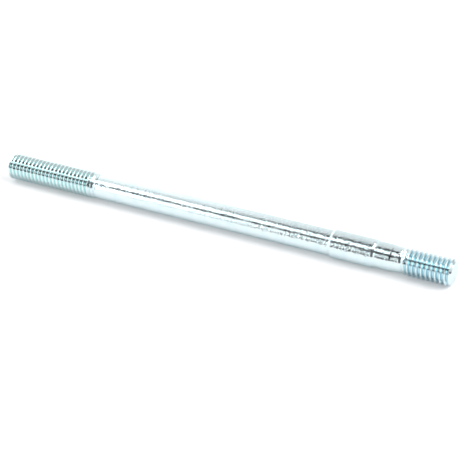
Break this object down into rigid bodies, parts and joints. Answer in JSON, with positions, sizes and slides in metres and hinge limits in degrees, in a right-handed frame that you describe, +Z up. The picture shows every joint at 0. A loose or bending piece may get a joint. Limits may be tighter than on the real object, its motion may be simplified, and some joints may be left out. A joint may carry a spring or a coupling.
{
  "type": "stud bolt",
  "caption": "Long double-ended stud bolt with a thinner shank between its threads and a centring collar near the short thread, zinc plated.",
  "frame": {"origin": "under the middle of the stud's length, on the surface it lies on", "axes": "+X along the stud towards its short thread, +Z up"},
  "size_m": [0.1076, 0.006, 0.0061],
  "materials": {
    "zinc_plate": "bright zinc plate with a pale blue passivated film over fine turning marks"
  },
  "bodies": {
    "root": {"stud_bolt": "zinc_plate"}
  },
  "joints": []
}
